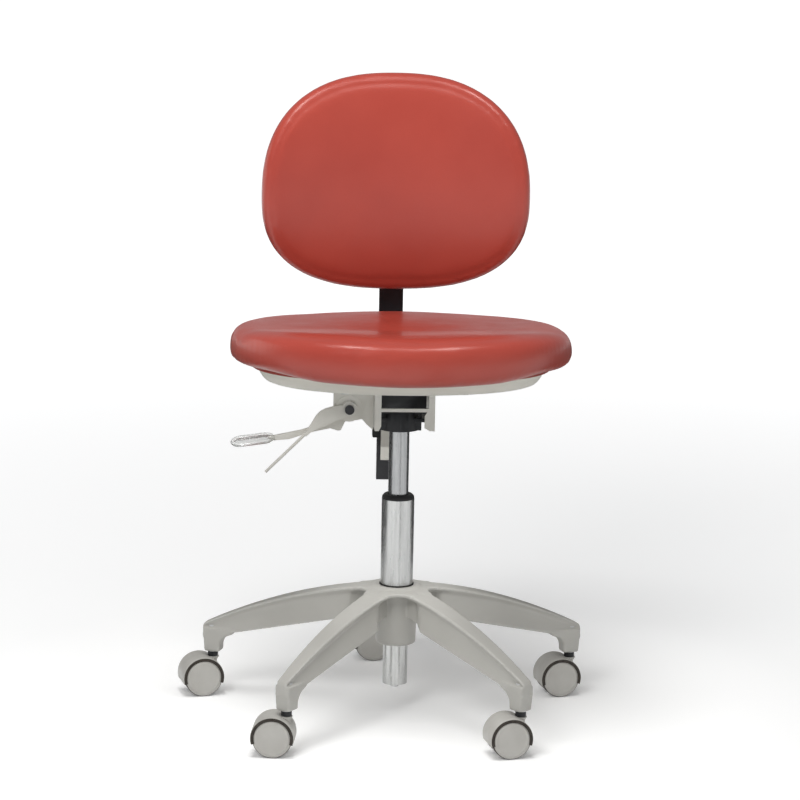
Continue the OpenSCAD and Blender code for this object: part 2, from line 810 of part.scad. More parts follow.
star_base();
stem_sleeves();
caster_stems();
column_tube();
column_ring();
column_end_plate();
guide_bush();
piston_rod();
piston_head();
thrust_bearing();
rod_clip();
rubber_buffer();
gas_cylinder();
cylinder_head();
taper_socket();
mechanism_housing();
seat_plate();
seat_pan();
seat_board();
seat_cushion();
seat_bolts();
lever_bracket();
lever_pivot_pin();
arm_axle();
axle_clips();
tilt_spring();
release_button();
height_lever_arm();
height_lever_grip();
tilt_lever();
back_arm();
upright_sleeve();
clamp_knob();
clamp_stud();
back_upright();
back_bracket();
back_shell();
back_board();
back_cushion();
back_screws();
caster_hood(0);  // caster_hood_0
caster_hood(1);  // caster_hood_1
caster_hood(2);  // caster_hood_2
caster_hood(3);  // caster_hood_3
caster_hood(4);  // caster_hood_4
caster_axle(0);  // caster_axle_0
caster_axle(1);  // caster_axle_1
caster_axle(2);  // caster_axle_2
caster_axle(3);  // caster_axle_3
caster_axle(4);  // caster_axle_4
wheel(0, -1);  // wheel_0_front
wheel(1, -1);  // wheel_1_front
wheel(2, -1);  // wheel_2_front
wheel(3, -1);  // wheel_3_front
wheel(4, -1);  // wheel_4_front
wheel(0, 1);  // wheel_0_rear
wheel(1, 1);  // wheel_1_rear
wheel(2, 1);  // wheel_2_rear
wheel(3, 1);  // wheel_3_rear
wheel(4, 1);  // wheel_4_rear
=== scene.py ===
"""A dentist's stool: the visible model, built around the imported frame. Shapes are drawn in millimetres."""
import json
import math

import bmesh
import bpy
import numpy as np
from mathutils import Matrix, Vector


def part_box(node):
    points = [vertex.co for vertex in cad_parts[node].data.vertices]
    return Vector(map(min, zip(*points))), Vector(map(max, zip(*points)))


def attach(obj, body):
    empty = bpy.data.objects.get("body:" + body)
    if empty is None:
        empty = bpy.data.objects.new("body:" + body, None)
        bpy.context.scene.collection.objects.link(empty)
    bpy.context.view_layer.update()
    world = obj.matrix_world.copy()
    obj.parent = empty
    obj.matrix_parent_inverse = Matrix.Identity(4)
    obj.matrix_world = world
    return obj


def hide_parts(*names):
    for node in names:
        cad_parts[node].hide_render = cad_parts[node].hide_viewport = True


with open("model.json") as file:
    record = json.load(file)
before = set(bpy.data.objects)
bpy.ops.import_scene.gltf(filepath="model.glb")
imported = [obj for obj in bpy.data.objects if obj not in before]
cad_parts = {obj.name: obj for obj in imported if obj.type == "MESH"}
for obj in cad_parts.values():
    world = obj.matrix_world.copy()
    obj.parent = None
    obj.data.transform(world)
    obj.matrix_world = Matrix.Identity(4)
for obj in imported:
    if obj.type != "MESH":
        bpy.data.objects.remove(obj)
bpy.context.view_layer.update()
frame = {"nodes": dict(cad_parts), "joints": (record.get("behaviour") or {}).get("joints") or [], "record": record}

MM = 0.001
NODES = frame["nodes"]
JOINTS = {j["name"]: j for j in frame["joints"]}
SLOT_OF = {part["node"]: part["material_slot"] for part in frame["record"]["subparts"]}
scene = bpy.context.scene


# ---- Frames that shapes are drawn in ----

SEAT_TILT = math.radians(-4)
SEAT_Z = 436                     # height of the pan's underside on the column's axis
BACK_LEAN = math.radians(-3)
BACK_Y = 215.63                  # the board's front face at the middle of the backrest
BACK_Z = 645.4                   # height of the backrest's widest line
BACK_CURVE_R = 600               # the backrest curves round the sitter

seat_frame = Matrix.Translation((0, 0, SEAT_Z)) @ Matrix.Rotation(SEAT_TILT, 4, "X")
back_frame = Matrix.Translation((0, BACK_Y, BACK_Z)) @ Matrix.Rotation(BACK_LEAN, 4, "X")


# ---- Material nodes ----

MOTTLE = (0.3, 0.7)              # the span of a noise's values that shows


class Paint:
    """A material's node tree, with short calls for the nodes that the finishes share"""

    def __init__(self, name, **sockets):
        self.material = bpy.data.materials.new(name)
        self.material.use_nodes = True
        self.tree = self.material.node_tree
        self.shader = self.tree.nodes["Principled BSDF"]
        self.place = self.tree.nodes.new("ShaderNodeTexCoord").outputs["Object"]
        for socket, value in sockets.items():
            self.shader.inputs[socket.replace("_", " ")].default_value = value

    def link(self, source, target):
        self.tree.links.new(source, target)

    def stretched(self, scale):
        node = self.tree.nodes.new("ShaderNodeMapping")
        node.inputs["Scale"].default_value = scale
        self.link(self.place, node.inputs["Vector"])
        return node.outputs["Vector"]

    def noise(self, scale, detail, rough=0.5, place=None):
        node = self.tree.nodes.new("ShaderNodeTexNoise")
        node.inputs["Scale"].default_value = scale
        node.inputs["Detail"].default_value = detail
        node.inputs["Roughness"].default_value = rough
        self.link(place or self.place, node.inputs["Vector"])
        return node.outputs["Fac"]

    def cells(self, scale, feature="F1"):
        node = self.tree.nodes.new("ShaderNodeTexVoronoi")
        node.feature = feature
        node.inputs["Scale"].default_value = scale
        self.link(self.place, node.inputs["Vector"])
        return node.outputs["Distance"]

    def ranged(self, value, low, high, to_low, to_high):
        node = self.tree.nodes.new("ShaderNodeMapRange")
        for name, number in zip(("From Min", "From Max", "To Min", "To Max"), (low, high, to_low, to_high)):
            node.inputs[name].default_value = number
        self.link(value, node.inputs["Value"])
        return node.outputs["Result"]

    def math(self, operation, first, second):
        node = self.tree.nodes.new("ShaderNodeMath")
        node.operation = operation
        for socket, value in zip(node.inputs, (first, second)):
            if isinstance(value, (int, float)):
                socket.default_value = value
            else:
                self.link(value, socket)
        return node.outputs[0]

    def blend(self, share, first, second):
        node = self.tree.nodes.new("ShaderNodeMix")
        node.data_type = "RGBA"
        self.link(share, node.inputs["Factor"])
        for socket, value in ((node.inputs["A"], first), (node.inputs["B"], second)):
            if isinstance(value, tuple):
                socket.default_value = (*value, 1)
            else:
                self.link(value, socket)
        return node.outputs["Result"]

    def mottled(self, pattern, first, second):
        """The first colour in the pattern's valleys, the second on its hills"""
        return self.blend(self.ranged(pattern, *MOTTLE, 0, 1), first, second)

    def edges(self, low, high):
        """0 on flats and hollows, 1 on convex edges"""
        geometry = self.tree.nodes.new("ShaderNodeNewGeometry")
        return self.ranged(geometry.outputs["Pointiness"], low, high, 0, 1)

    def colour(self, value):
        self.link(value, self.shader.inputs["Base Color"])

    def roughness(self, value, low, high):
        self.link(self.ranged(value, *MOTTLE, low, high), self.shader.inputs["Roughness"])

    def bump(self, height, distance, strength, under=None):
        node = self.tree.nodes.new("ShaderNodeBump")
        node.inputs["Distance"].default_value = distance
        node.inputs["Strength"].default_value = strength
        self.link(height, node.inputs["Height"])
        if under:
            self.link(under, node.inputs["Normal"])
        self.link(node.outputs["Normal"], self.shader.inputs["Normal"])
        return node.outputs["Normal"]


# ---- Camera, floor and light, in metres ----

CAMERA_AT, CAMERA_AIM = (-0.258, -4.219, 1.247), (0, 0, 0.41)
CAMERA_LENS, CAMERA_SENSOR = 151.5, 36
CAMERA_ROLL = math.radians(1.1)
FLOOR_REACH = 30
WALL_REACH, WALL_LOW, WALL_HIGH = 25, -0.1, 20
WHITE = (1, 1, 1, 1)


def aim(obj, target, roll=0.0):
    turn = (Vector(target) - obj.location).to_track_quat("-Z", "Y")
    obj.rotation_mode = "QUATERNION"
    obj.rotation_quaternion = turn @ Matrix.Rotation(roll, 3, "Z").to_quaternion()


def make_camera():
    camera = bpy.data.objects.new("camera", bpy.data.cameras.new("camera"))
    scene.collection.objects.link(camera)
    camera.data.lens = CAMERA_LENS
    camera.data.sensor_width = CAMERA_SENSOR
    camera.location = CAMERA_AT
    aim(camera, CAMERA_AIM, CAMERA_ROLL)
    camera.data.clip_end = 100
    scene.camera = camera


def make_light(name, place, target, size, power):
    lamp = bpy.data.lights.new(name, "AREA")
    lamp.shape = "RECTANGLE"
    lamp.size, lamp.size_y = size
    lamp.energy = power
    obj = bpy.data.objects.new(name, lamp)
    scene.collection.objects.link(obj)
    obj.location = place
    obj.visible_camera = False
    obj.visible_glossy = False
    aim(obj, target)


def studio_piece(name, points, faces, paint):
    mesh = bpy.data.meshes.new(name)
    mesh.from_pydata(points, [], faces)
    mesh.materials.append(paint)
    piece = bpy.data.objects.new(name, mesh)
    scene.collection.objects.link(piece)
    return piece


def sheet(name, width, height, paint):
    x, y = width / 2, height / 2
    return studio_piece(name, [(-x, -y, 0), (x, -y, 0), (x, y, 0), (-x, y, 0)], [(0, 1, 2, 3)], paint)


def make_card(name, place, normal, size, grey, glow=0.0):
    """A grey card that draws edges or holds light back; the camera doesn't see it and it casts no shadow"""
    p = Paint(name, Base_Color=(grey, grey, grey, 1), Roughness=0.9, Emission_Color=(1, 0.98, 0.95, 1),
              Emission_Strength=glow)
    card = sheet(name, *size, p.material)
    card.location = place
    card.rotation_euler = Vector(normal).to_track_quat("Z", "Y").to_euler()
    card.visible_camera = False
    card.visible_shadow = False
    card.visible_transmission = False
    return card


def make_cards():
    """Cards that only gloss shows, dark ones for the chrome's edges and glowing ones for the vinyl's highlights.
    One more lies between base and seat for matt surfaces alone, and dims the light that passes there."""
    reach, height = 0.75, 0.46
    for name, turn, width, grey in (("card_left", -125, 1.45, 0.10), ("card_right", 133, 1.05, 0.08),
                                    ("card_line", 15, 0.09, 0.35)):
        across, along = math.sin(math.radians(turn)), -math.cos(math.radians(turn))
        place = (reach * across, reach * along, height / 2)
        card = make_card(name, place, (across, along, 0), (width, height), grey)
        card.visible_diffuse = False
    down, right = (0, 0, -1), (1, -0.4, 0)
    for name, place, normal, size, glow in (
            ("sheen_left", (-0.48, -0.43, 1.9), down, (0.36, 0.45), 14.0),
            ("sheen_right", (0.42, -0.43, 1.9), down, (0.30, 0.45), 16.0),
            ("glare_left", (-1.3, 0.5, 0.8), right, (1.0, 0.7), 1.1)):
        card = make_card(name, place, normal, size, 0.02, glow)
        card.visible_diffuse = False
    under = make_card("card_under", (0, -0.12, 0.30), (0, 0, 1), (0.95, 0.95), 0.02, 0.31)
    under.visible_glossy = False


def make_floor():
    """White paper that glows faintly near the stool and more far from it, where no lamp reaches"""
    p = Paint("floor_paper", Base_Color=(0.93, 0.93, 0.925, 1), Roughness=0.8, Specular_IOR_Level=0.1,
              Emission_Color=WHITE)
    far = p.tree.nodes.new("ShaderNodeVectorMath")
    far.operation = "LENGTH"
    p.link(p.place, far.inputs[0])
    near_r, far_r, near_glow, far_glow = 0.6, 3.2, 0.12, 0.8
    glow = p.ranged(far.outputs["Value"], near_r, far_r, near_glow, far_glow)
    p.link(glow, p.shader.inputs["Emission Strength"])
    sheet("floor", 2 * FLOOR_REACH, 2 * FLOOR_REACH, p.material)


def make_wall():
    """A pale round wall far behind everything; it is there for the camera alone and lights nothing"""
    p = Paint("wall_paint", Base_Color=(0.9, 0.9, 0.9, 1), Emission_Color=WHITE, Emission_Strength=0.9)
    p.material.cycles.emission_sampling = "NONE"
    count = 48
    ring = [(WALL_REACH * math.cos(2 * math.pi * k / count), WALL_REACH * math.sin(2 * math.pi * k / count))
            for k in range(count)]
    points = [(x, y, z) for z in (WALL_LOW, WALL_HIGH) for x, y in ring]
    faces = [(k, (k + 1) % count, count + (k + 1) % count, count + k) for k in range(count)]
    wall = studio_piece("wall", points, faces, p.material)
    wall.visible_diffuse = wall.visible_glossy = wall.visible_shadow = wall.visible_transmission = False


def make_studio():
    make_floor()
    sky = bpy.data.worlds.new("studio")
    scene.world = sky
    sky.use_nodes = True
    sky.node_tree.nodes["Background"].inputs["Color"].default_value = (0.97, 0.98, 1.0, 1)
    sky.node_tree.nodes["Background"].inputs["Strength"].default_value = 0.30

    make_light("overhead", (-0.3, -0.5, 2.7), (0, 0, 0.4), (1.1, 1.1), 40)
    make_light("key", (-1.2, -2.3, 2.2), (0, 0, 0.4), (1.3, 1.0), 34)
    make_light("softbox_right", (2.4, -2.0, 1.5), (0, 0, 0.45), (0.8, 1.4), 6)
    make_light("under_seat", (0, -0.04, 0.25), (0, -0.04, 0.1), (0.22, 0.22), 0.29)
    make_wall()
    make_cards()
    scene.view_settings.view_transform = "Standard"


make_camera()
make_studio()


# ---- Finishes ----

def vinyl():
    p = Paint("red_vinyl", Specular_IOR_Level=0.38, Coat_Weight=0.24, Coat_Roughness=0.22)
    colour = p.mottled(p.noise(7, 3), (0.352, 0.046, 0.031), (0.402, 0.057, 0.038))
    fine = p.noise(900, 2)
    p.colour(p.blend(p.ranged(fine, 0.35, 0.65, 0, 0.10), colour, (0.26, 0.031, 0.022)))
    p.roughness(p.noise(24, 4), 0.29, 0.37)
    grain = p.ranged(p.cells(620, "DISTANCE_TO_EDGE"), 0.0, 0.35, 0, 1)
    soft = p.bump(p.noise(60, 2), 0.0006, 0.12)
    p.bump(grain, 0.00012, 0.35, soft)
    return p.material


def cream_paint():
    p = Paint("cream_paint", Specular_IOR_Level=0.5, Coat_Weight=0.15, Coat_Roughness=0.25)
    colour = p.mottled(p.noise(18, 3), (0.74, 0.725, 0.665), (0.79, 0.775, 0.715))
    p.colour(p.blend(p.edges(0.52, 0.66), colour, (0.78, 0.77, 0.72)))
    p.roughness(p.noise(120, 2), 0.34, 0.44)
    p.bump(p.noise(900, 2), 0.00008, 0.5)
    return p.material


def cream_plastic():
    p = Paint("cream_plastic", Specular_IOR_Level=0.45)
    p.colour(p.mottled(p.noise(10, 3), (0.81, 0.80, 0.725), (0.86, 0.85, 0.775)))
    p.roughness(p.noise(60, 3), 0.46, 0.56)
    p.bump(p.cells(1500), 0.00008, 0.4)
    return p.material


def base_paint():
    p = Paint("base_paint", Specular_IOR_Level=0.5, Coat_Weight=0.1, Coat_Roughness=0.3)
    colour = p.mottled(p.noise(9, 4), (0.345, 0.338, 0.313), (0.385, 0.378, 0.352))
    # lighter on convex edges, broken by noise: partly rubbed paint, partly a painted highlight where the legs'
    # edges catch the light
    wear_and_highlight = p.math("MULTIPLY", p.edges(0.515, 0.60), p.ranged(p.noise(160, 4), 0.35, 0.65, 0.2, 0.8))
    p.colour(p.blend(wear_and_highlight, colour, (0.56, 0.555, 0.53)))
    p.roughness(p.noise(40, 4), 0.36, 0.50)
    soft = p.bump(p.noise(85, 2), 0.0005, 0.08)
    p.bump(p.noise(1100, 2), 0.00007, 0.45, soft)
    return p.material


def chrome(name, light, dark):
    p = Paint(name, Metallic=1.0)
    streaks = p.noise(40, 3, 0.5, p.stretched((9, 9, 0.3)))
    p.colour(p.mottled(streaks, dark, light))
    p.roughness(p.noise(70, 3, 0.5, p.stretched((6, 6, 0.6))), 0.20, 0.30)
    p.bump(p.noise(300, 2, 0.5, p.stretched((1, 1, 0.12))), 0.00004, 0.14)
    return p.material


def steel():
    p = Paint("steel", Metallic=1.0)
    p.colour(p.mottled(p.noise(140, 4), (0.46, 0.465, 0.47), (0.60, 0.605, 0.61)))
    p.roughness(p.noise(420, 3), 0.24, 0.42)
    p.bump(p.noise(1600, 2), 0.00004, 0.4)
    return p.material


def black_metal():
    p = Paint("black_metal", Specular_IOR_Level=0.28)
    colour = p.mottled(p.noise(30, 3), (0.008, 0.009, 0.011), (0.016, 0.017, 0.02))
    p.colour(p.blend(p.edges(0.54, 0.7), colour, (0.06, 0.06, 0.065)))
    p.roughness(p.noise(200, 3), 0.28, 0.42)
    p.bump(p.noise(1300, 2), 0.00008, 0.5)
    return p.material


def black_plastic():
    p = Paint("black_plastic", Specular_IOR_Level=0.22)
    p.colour(p.mottled(p.noise(45, 3), (0.010, 0.010, 0.011), (0.019, 0.019, 0.020)))
    p.roughness(p.noise(90, 3), 0.32, 0.48)
    p.bump(p.cells(1400), 0.00008, 0.5)
    return p.material


def black_rubber():
    p = Paint("black_rubber", Specular_IOR_Level=0.2)
    p.colour(p.mottled(p.noise(120, 3), (0.012, 0.012, 0.012), (0.030, 0.029, 0.028)))
    p.roughness(p.noise(200, 3), 0.60, 0.80)
    p.bump(p.noise(900, 3), 0.0001, 0.5)
    return p.material


def clear_plastic():
    p = Paint("clear_plastic", IOR=1.49, Transmission_Weight=0.8, Specular_IOR_Level=0.4)
    p.colour(p.mottled(p.noise(25, 3), (0.86, 0.87, 0.86), (0.93, 0.94, 0.93)))
    p.roughness(p.noise(90, 3), 0.12, 0.24)
    p.bump(p.noise(140, 2), 0.00006, 0.4)
    return p.material


def caster_plastic():
    p = Paint("caster_plastic", Specular_IOR_Level=0.5)
    p.colour(p.mottled(p.noise(35, 4), (0.385, 0.373, 0.347), (0.435, 0.427, 0.400)))
    p.roughness(p.noise(120, 3), 0.36, 0.50)
    p.bump(p.noise(1200, 2), 0.00008, 0.5)
    return p.material


# the dark, dusty finish of the wheels' running faces; the same finish also paints shade on the hoods' lips
def tread_and_shade():
    p = Paint("tread_and_shade", Specular_IOR_Level=0.35)
    dust = p.ranged(p.noise(260, 4), 0.4, 0.7, 0, 1)
    p.colour(p.blend(dust, (0.024, 0.020, 0.016), (0.050, 0.042, 0.034)))
    p.roughness(p.noise(180, 3), 0.5, 0.7)
    p.bump(p.noise(800, 3), 0.0001, 0.5)
    return p.material


def plywood():
    p = Paint("plywood", Specular_IOR_Level=0.35)
    grain = p.noise(22, 6, 0.65, p.stretched((1.5, 14, 90)))
    p.colour(p.mottled(grain, (0.32, 0.19, 0.09), (0.58, 0.41, 0.24)))
    p.roughness(p.noise(90, 3), 0.5, 0.7)
    p.bump(grain, 0.0002, 0.4)
    return p.material


FINISHES = {                     # by the record's material slots
    "red_vinyl": vinyl(),
    "cream_plastic": cream_plastic(),
    "cream_paint": cream_paint(),
    "base_paint": base_paint(),
    "chrome": chrome("chrome", (0.56, 0.565, 0.56), (0.47, 0.475, 0.47)),
    "steel": steel(),
    "black_metal": black_metal(),
    "black_plastic": black_plastic(),
    "black_rubber": black_rubber(),
    "clear_plastic": clear_plastic(),
    "caster_plastic": caster_plastic(),
    "plywood": plywood(),
}
# the wheels' dark finish, used too as painted shade on the hoods' lips
TREAD_AND_SHADE = tread_and_shade()
SPECIAL = {                      # nodes that look different from the rest of their slot
    # painted shade: the gas cylinder gets a darker copy of the chrome, for the seat's shadow over it
    "gas_cylinder": chrome("shaded_chrome", (0.40, 0.405, 0.41), (0.31, 0.315, 0.32)),
    "lever_pivot_pin": FINISHES["black_metal"],
}


def finish_nodes():
    for name, node in NODES.items():
        node.data.materials.clear()
        node.data.materials.append(SPECIAL.get(name, FINISHES[SLOT_OF[name]]))


def wrap_board(name, face_axis):
    """The cover is pulled round the board's edge, so only the board's two faces show plywood"""
    board = NODES[name].data
    board.materials.append(FINISHES["red_vinyl"])
    for face in board.polygons:
        if abs(face.normal[face_axis]) < 0.7:
            face.material_index = 1


finish_nodes()
wrap_board("seat_board", 2)
wrap_board("back_board", 1)


# ---- Mesh code ----

def smooth01(t):
    """0 below 0, 1 above 1, and an even S between them"""
    t = np.clip(t, 0, 1)
    return t * t * (3 - 2 * t)


def oval(half, up, down, full_up, full_down, count=96):
    """Closed outline, round by its fullness (2 is an ellipse) above and below its widest line"""
    turn = np.arange(count) * 2 * np.pi / count
    cos, sin = np.cos(turn), np.sin(turn)
    full = np.where(sin >= 0, full_up, full_down)
    reach = np.where(sin >= 0, up, down)
    return np.stack([half * np.sign(cos) * np.abs(cos) ** (2 / full),
                     reach * np.sign(sin) * np.abs(sin) ** (2 / full)], axis=1)


def skin(rings, closed=False):
    """Points and faces of a skin over rings of equal length, capped unless the last ring meets the first"""
    count = len(rings[0])
    points = [tuple(p) for ring in rings for p in ring]
    faces = []
    for k in range(len(rings) if closed else len(rings) - 1):
        a, b = k * count, (k + 1) % len(rings) * count
        faces += [(a + i, a + (i + 1) % count, b + (i + 1) % count, b + i) for i in range(count)]
    if not closed:
        last = (len(rings) - 1) * count
        faces.append(tuple(range(count))[::-1])
        faces.append(tuple(range(last, last + count)))
    return points, faces


def round_angles(count):
    return [2 * math.pi * i / count for i in range(count)]


def lathe(profile, steps=96, closed=False):
    """Rings of a profile of (radius, height) turned round the z axis"""
    rings = []
    for radius, height in profile:
        rings.append([(radius * math.cos(t), radius * math.sin(t), height) for t in round_angles(steps)])
    return skin(rings, closed)


def joined(*shapes):
    points, faces = [], []
    for shape_points, shape_faces in shapes:
        start = len(points)
        points += shape_points
        faces += [tuple(start + i for i in face) for face in shape_faces]
    return points, faces


def turned(shape, angle):
    """The shape turned round the z axis by an angle in degrees"""
    points, faces = shape
    turn = Matrix.Rotation(math.radians(angle), 4, "Z")
    return [tuple(turn @ Vector(p)) for p in points], faces


def shade(obj, angle=38):
    """Smooth faces, with a crease wherever two of them meet at more than the angle"""
    bm = bmesh.new()
    bm.from_mesh(obj.data)
    bmesh.ops.recalc_face_normals(bm, faces=bm.faces)
    limit = math.radians(angle)
    for edge in bm.edges:
        edge.smooth = not (edge.is_manifold and edge.calc_face_angle() > limit)
    for face in bm.faces:
        face.smooth = True
    bm.to_mesh(obj.data)
    bm.free()


def make(name, shape, place=None, angle=38):
    """A mesh object from points in millimetres, drawn in the frame that place gives"""
    points, faces = shape
    place = place or Matrix.Identity(4)
    mesh = bpy.data.meshes.new(name)
    mesh.from_pydata([tuple((place @ Vector(p)) * MM) for p in points], [], faces)
    obj = bpy.data.objects.new(name, mesh)
    scene.collection.objects.link(obj)
    shade(obj, angle)
    return obj


def fit(obj, body, slot, *nodes):
    """Gives a piece its slot's finish, unless it has one, and its body, and hides the CAD nodes that it stands for
    """
    if not obj.data.materials:
        obj.data.materials.append(FINISHES[slot])
    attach(obj, body)
    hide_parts(*nodes)


def through_modifiers(obj):
    """The object's mesh with its modifiers applied"""
    bpy.context.view_layer.update()
    graph = bpy.context.evaluated_depsgraph_get()
    mesh = bpy.data.meshes.new_from_object(obj.evaluated_get(graph))
    old = obj.data
    obj.modifiers.clear()
    obj.data = mesh
    bpy.data.meshes.remove(old)


def add_remesh(obj, voxel):
    remesh = obj.modifiers.new("remesh", "REMESH")
    remesh.mode = "VOXEL"
    remesh.voxel_size = voxel * MM
    return remesh


def add_ease(obj, passes):
    ease = obj.modifiers.new("ease", "SMOOTH")
    ease.factor = 0.5
    ease.iterations = passes


def fuse(obj, voxel, passes):
    """Overlapping shells become one skin, with its corners eased as a casting's are"""
    add_remesh(obj, voxel).use_smooth_shade = True
    add_ease(obj, passes)
    through_modifiers(obj)


def refine(obj, passes):
    """Eases a remeshed pad's steps and splits its faces"""
    add_ease(obj, passes)
    finer = obj.modifiers.new("finer", "SUBSURF")
    finer.levels = finer.render_levels = 1
    through_modifiers(obj)


MERGE_M = 0.00001                   # points of a CAD node closer than this are one
FLAT = math.radians(0.5)            # faces that meet at less than this are one
SHARP = math.radians(30)            # edges that bend more than this are rounded


def softened(name, node, width, body):
    """A CAD node with its edges rounded, in a new piece that stands for it"""
    bm = bmesh.new()
    bm.from_mesh(NODES[node].data)
    bmesh.ops.remove_doubles(bm, verts=bm.verts, dist=MERGE_M)
    bmesh.ops.dissolve_limit(bm, angle_limit=FLAT, verts=bm.verts, edges=bm.edges)
    sharp = [e for e in bm.edges if e.is_manifold and e.calc_face_angle() > SHARP]
    bmesh.ops.bevel(bm, geom=sharp, offset=width * MM, segments=3, profile=0.5, affect="EDGES",
                    clamp_overlap=True)
    mesh = bpy.data.meshes.new(name)
    bm.to_mesh(mesh)
    bm.free()
    obj = bpy.data.objects.new(name, mesh)
    scene.collection.objects.link(obj)
    shade(obj, 32)
    fit(obj, body, SLOT_OF[node], node)


def coordinates(mesh, matrix):
    """A mesh's points in millimetres, in the frame that matrix places"""
    flat = np.empty(len(mesh.vertices) * 3)
    mesh.vertices.foreach_get("co", flat)
    inverse = np.array(matrix.inverted())
    return (flat.reshape(-1, 3) / MM) @ inverse[:3, :3].T + inverse[:3, 3]


def normals(mesh, matrix):
    flat = np.empty(len(mesh.vertices) * 3)
    mesh.vertices.foreach_get("normal", flat)
    return flat.reshape(-1, 3) @ np.array(matrix.to_3x3())


def set_coordinates(mesh, points, matrix):
    forward = np.array(matrix)
    world = (points @ forward[:3, :3].T + forward[:3, 3]) * MM
    mesh.vertices.foreach_set("co", world.ravel())
    mesh.update()


PRESSURE, LAST_FRAME = 4.0, 20
EVENING = 30                        # how often the puff is averaged with its neighbours'


def blown_up(obj, matrix, stapled):
    """Where the object's points end up as cloth under pressure, held at the stapled ones"""
    group = obj.vertex_groups.new(name="stapled")
    group.add(np.nonzero(stapled)[0].tolist(), 1.0, "REPLACE")
    cloth = obj.modifiers.new("cloth", "CLOTH")
    cloth.settings.vertex_group_mass = "stapled"
    cloth.settings.use_pressure = True
    cloth.settings.uniform_pressure_force = PRESSURE
    cloth.settings.effector_weights.gravity = 0
    cloth.settings.quality = 5
    cloth.settings.bending_stiffness = 2
    cloth.point_cache.frame_start = 1
    cloth.point_cache.frame_end = LAST_FRAME
    for number in range(1, LAST_FRAME + 1):
        scene.frame_set(number)
    graph = bpy.context.evaluated_depsgraph_get()
    end = coordinates(obj.evaluated_get(graph).to_mesh(), matrix)
    obj.evaluated_get(graph).to_mesh_clear()
    obj.modifiers.clear()
    obj.vertex_groups.clear()
    scene.frame_set(1)
    return end


def evened(mesh, values, held):
    """Values at a mesh's points, averaged with their neighbours' again and again, and 0 where held"""
    ends = np.empty(len(mesh.edges) * 2, dtype=np.int64)
    mesh.edges.foreach_get("vertices", ends)
    one, other = ends[0::2], ends[1::2]
    count = len(values)
    near = np.maximum(np.bincount(ends, minlength=count), 1)
    for _ in range(EVENING):
        around = np.bincount(one, values[other], count) + np.bincount(other, values[one], count)
        values = np.where(held, 0, (values + around / near) / 2)
    return values


def inflate(obj, matrix, held, voxel, cap):
    """The pad as cloth blown up over its foam: held(points) is true where it is stapled down.
    Only the outward part of the blow is kept, evened and capped, because taut vinyl has no creases."""
    add_remesh(obj, voxel)
    through_modifiers(obj)
    start = coordinates(obj.data, matrix)
    stapled = held(start)
    end = blown_up(obj, matrix, stapled)
    normal = normals(obj.data, matrix)
    puff = np.clip(np.sum((end - start) * normal, axis=1), 0, 2 * cap)
    puff = evened(obj.data, puff, stapled)
    set_coordinates(obj.data, start + normal * np.minimum(puff, cap)[:, None], matrix)


# ---- Seat ----

SEAT_HALF, SEAT_REAR, SEAT_FRONT = 218, 195, 215
SEAT_FULL = (2.7, 2.15)          # how square the outline is at the rear and at the front
PAN_H = 18
BOARD_ROOM = 12.5                # height of the hollow that takes the board
SEAT_PUFF = 2.6                  # the most that pressure moves the cover
DOME, GROOVE, CREST = 3.0, 2.2, 5.0              # the top: crown at the rear, hollow ahead of it, front edge
SAG, TUCK = 4.5, 6.5                             # the lower edge: it hangs in front and rises at the sides
INNER_RINGS = (0.85, 0.7, 0.5, 0.3, 0.1, 0.02)   # rings that close a face, as shares of its outline


def seat_ring(inset, height, share=1.0):
    flat = oval(SEAT_HALF - inset, SEAT_REAR - inset, SEAT_FRONT - inset, *SEAT_FULL) * share
    return [(x, y, height) for x, y in flat]


def seat_stapled(p):
    """The lower edge, and the underside that faces the board"""
    return (p[:, 2] < 21) | (p[:, 2] < 32) & (np.abs(p[:, 0]) < 150)


def seat_cushion():
    under = PAN_H + BOARD_ROOM
    rings = [seat_ring(29, under, share) for share in INNER_RINGS[::-1]]
    rings += [seat_ring(inset, height) for inset, height in (
        (29, under), (29, 18.3), (15, 18.3), (6.5, 19.5), (1.8, 24.5), (0.2, 33), (0, 43), (0.8, 51.5),
        (3.4, 58), (8.2, 62.6), (15, 65), (24, 66.2), (36, 66.8), (50, 67))]
    rings += [seat_ring(50, 67.1, share) for share in INNER_RINGS]
    pad = make("seat_pad", skin(rings), seat_frame)
    inflate(pad, seat_frame, seat_stapled, 6, SEAT_PUFF)
    refine(pad, 4)
    p = coordinates(pad.data, seat_frame)
    x, y, z = p.T
    upper = smooth01((z - 30) / 34)
    dome = DOME * np.exp(-(x / 92) ** 2) * smooth01((y + 60) / 190)
    groove = GROOVE * np.exp(-(x / 62) ** 2) * smooth01((-y + 30) / 120)
    crest = CREST * smooth01((-y - 40) / 110)
    lower = 1 - smooth01((z - 19) / 30)
    outer = smooth01((np.hypot(x / SEAT_HALF, np.where(y > 0, y / SEAT_REAR, y / SEAT_FRONT)) - 0.84) / 0.08)
    sag = SAG * np.exp(-(x / 105) ** 2) * smooth01((-y - 60) / 100)
    tuck = TUCK * smooth01((np.abs(x) - 100) / 85)
    p[:, 2] = z + upper * (dome - groove + crest) + lower * outer * (tuck - sag)
    set_coordinates(pad.data, p, seat_frame)
    shade(pad, 60)
    fit(pad, "seat", "red_vinyl", "seat_cushion")


def seat_pan():
    profile = ((58, 0.3), (49, 0.6), (45, 2), (42.3, 4.3), (40, 7.4), (38, 10.6), (36.6, 13.6), (36.2, 14.6),
               (35.0, 15.0), (34.3, 15.4), (34, 16.2), (34, 18.0), (37, 18.0), (40, 14), (45, 7), (53, 3.4))
    rings = [seat_ring(58, 0.3, share) for share in INNER_RINGS[::-1]]
    rings += [seat_ring(inset, height) for inset, height in profile]
    rings += [seat_ring(53, 3.2, share) for share in INNER_RINGS]
    fit(make("seat_pan_moulding", skin(rings), seat_frame, 50), "seat", "cream_plastic", "seat_pan")


# ---- Backrest ----

